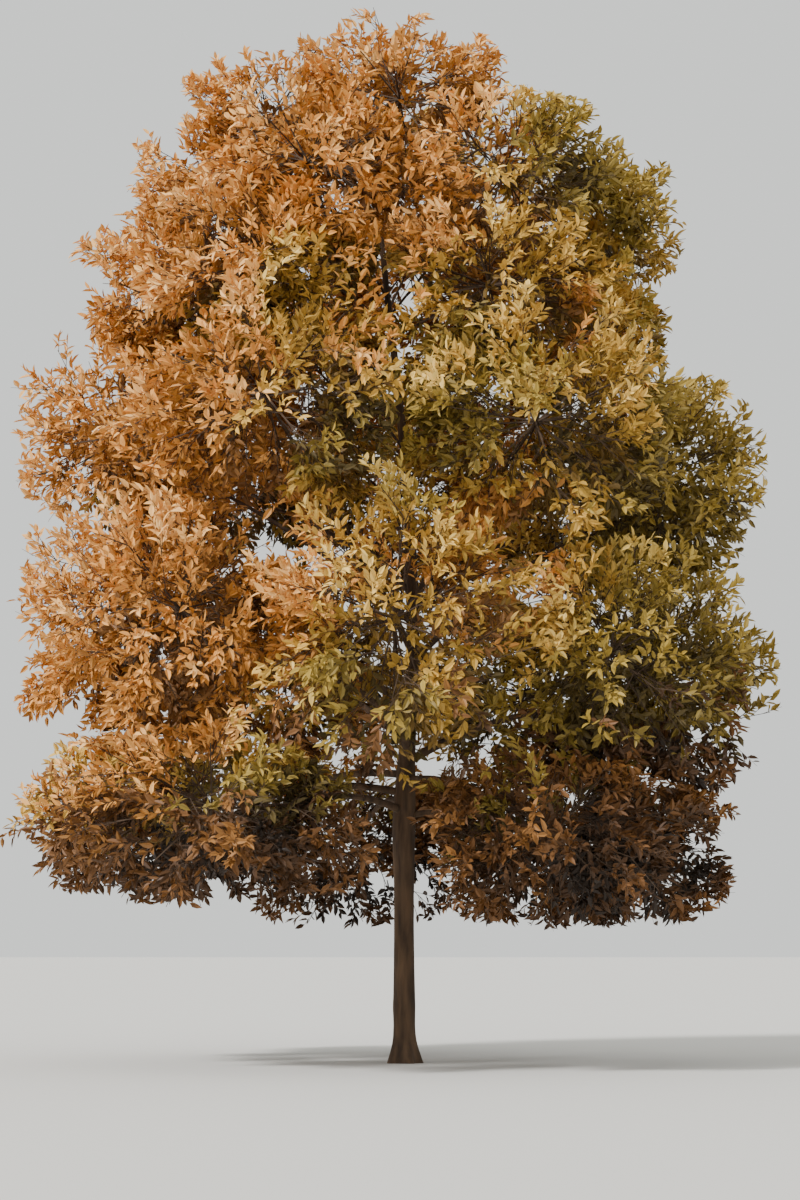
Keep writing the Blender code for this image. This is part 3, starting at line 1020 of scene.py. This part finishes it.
def divide(first: Space, second: Space) -> None:
    """Put a wall between two spaces, nearer to the smaller one.

    Args:
        first: one space.
        second: the other.
    """
    apart = second.middle - first.middle
    way, distance = unit(apart), float(np.linalg.norm(apart))
    here, there = first.radius(way), second.radius(way)
    first.add_wall(way, distance * here / (here + there))
    second.add_wall(-way, distance * there / (here + there))


@dataclass
class Bark:
    """The trunk and boughs, with furrows cut into their surface.

    A noise's scale is how fast it changes round the limb and along it.
    """

    trunk_sides: int = 72
    trunk_rings: int = 330
    bough_sides: int = 18
    crowded: float = 1.35
    furrow_depth: float = 0.085
    furrow_scale: tuple[float, float] = (4.2, 0.9)
    fine_scale: tuple[float, float] = (11.0, 3.1)
    wander: float = 0.15
    wander_turns: float = 3.0
    wander_share: float = 0.3
    even_share: float = 0.5
    furrow_share: float = 0.9
    fine_share: float = 0.25

    def trunk_limb(self) -> Limb:
        """Give the trunk's line and radii, with rings crowded towards the foot."""
        heights = TRUNK[-1].height * np.linspace(0.0, 1.0, self.trunk_rings) ** self.crowded
        return Limb(*trunk_at(heights))

    def relief(self, place: np.ndarray, angle: float, along: float) -> float:
        """Give the share of the radius that is left at one point of the surface.

        Args:
            place: the point's direction from the limb's middle, as a cosine and a sine.
            angle: the same direction as an angle.
            along: how far the point is along the limb, in metres.

        Returns:
            About 0.96 on a ridge, and less in a furrow.
        """
        round_it, along_it = self.furrow_scale
        furrow = noise.noise(Vector((place[0] * round_it, place[1] * round_it, along * along_it)))
        round_it, along_it = self.fine_scale
        fine = noise.noise(Vector((place[0] * round_it, place[1] * round_it, along * along_it)))
        wander = self.wander * math.sin(angle * self.wander_turns + along)
        cut = self.furrow_share * abs(furrow + wander * self.wander_share)
        return 1.0 - self.furrow_depth * (self.even_share + cut + self.fine_share * fine)

    def add_limb(self, parts: MeshParts, limb: Limb, sides: int, flared: bool) -> None:
        """Add a limb, as rings with furrows, to a piece.

        Args:
            parts: the piece.
            limb: the limb.
            sides: how many points a ring has.
            flared: whether root lobes stand out at its foot.
        """
        ways = unit(np.gradient(limb.points, axis=0))
        angles = np.arange(sides) * math.tau / sides
        run = np.concatenate(([0.0], np.cumsum(np.linalg.norm(np.diff(limb.points, axis=0), axis=1))))
        over, side = across(ways)
        if flared:
            over[:], side[:] = (1.0, 0.0, 0.0), (0.0, 1.0, 0.0)
        rows = []
        for i, point in enumerate(limb.points):
            depth = FLARE_DEPTH * math.exp(-run[i] / FLARE_HEIGHT) if flared else 0.0
            lobes = 1.0 + depth * np.cos(FLARE_LOBES * angles)
            around = np.column_stack((np.cos(angles), np.sin(angles)))
            relief = np.array([self.relief(a, b, run[i]) for a, b in zip(around, angles)])
            spokes = around[:, :1] * over[i] + around[:, 1:] * side[i]
            rows.append(point + spokes * (limb.radii[i] * lobes * relief)[:, None])
        faces = repeated(ring_quads(sides), len(rows) - 1, sides)
        parts.add(np.concatenate(rows), faces, np.zeros(len(faces)))

    def build(self, masses: list[Mass]) -> Limb:
        """Make the trunk and the boughs.

        Args:
            masses: the masses that the boughs carry.

        Returns:
            The trunk's line, for the leaves to keep off.
        """
        finish = BarkFinish().material()
        trunk, wood = self.trunk_limb(), MeshParts()
        self.add_limb(wood, trunk, self.trunk_sides, flared=True)
        made = wood.build("bark_trunk", [finish], smooth=True)
        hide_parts("trunk")
        boughs, owners = MeshParts(), [mass for mass in masses if mass.bough_radius]
        for mass in owners:
            self.add_limb(boughs, mass.bough(), self.bough_sides, flared=False)
        made = boughs.build("bark_boughs", [finish], smooth=True)
        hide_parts(*[f"bough_{mass.name}" for mass in owners])
        return trunk


@dataclass(frozen=True)
class Studio:
    """The floor, the light and the camera of the photo's view."""

    floor_size: float = 6000.0
    floor_colour: tuple[float, float, float] = (0.66, 0.64, 0.60)
    floor_roughness: float = 0.9
    sky_colour: tuple[float, float, float, float] = (0.86, 0.88, 0.86, 1.0)
    sky_strength: float = 1.15
    sun_energy: float = 4.3
    sun_softness: float = math.radians(9)
    sun_tilt: tuple[float, float, float] = (math.radians(46), math.radians(-22), math.radians(-28))
    eye: tuple[float, float, float] = (-0.06, -38.0, 1.6)
    pitch: float = math.radians(7.9)
    lens: float = 76.35

    def build(self) -> None:
        """Put the floor, the light and the camera in the scene."""
        scene = bpy.context.scene
        bpy.ops.mesh.primitive_plane_add(size=self.floor_size)
        floor = bpy.context.active_object
        floor.name = "floor"
        finish = PlainFinish("floor", self.floor_colour, self.floor_roughness)
        floor.data.materials.append(finish.material())
        world = bpy.data.worlds.new("studio")
        world.use_nodes = True
        background = world.node_tree.nodes["Background"]
        background.inputs["Color"].default_value = self.sky_colour
        background.inputs["Strength"].default_value = self.sky_strength
        scene.world = world
        sun = bpy.data.lights.new("sun", "SUN")
        sun.energy = self.sun_energy
        sun.angle = self.sun_softness
        lamp = bpy.data.objects.new("sun", sun)
        lamp.rotation_euler = self.sun_tilt
        scene.collection.objects.link(lamp)
        lens = bpy.data.cameras.new("camera")
        lens.lens = self.lens
        camera = bpy.data.objects.new("camera", lens)
        camera.location = self.eye
        camera.rotation_euler = (math.pi / 2 + self.pitch, 0.0, 0.0)
        scene.collection.objects.link(camera)
        scene.camera = camera


def write_sizes() -> None:
    """Update the view layer."""
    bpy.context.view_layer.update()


def main() -> None:
    """Build the tree's looks and the studio round it."""
    logging.basicConfig(level=logging.INFO, format="%(message)s")
    crown = Crown.lay_out()
    trunk = Bark().build(crown.masses)
    crown.build(trunk)
    Studio().build()
    bpy.context.view_layer.update()
    write_sizes()


if __name__ == "__main__":
    main()
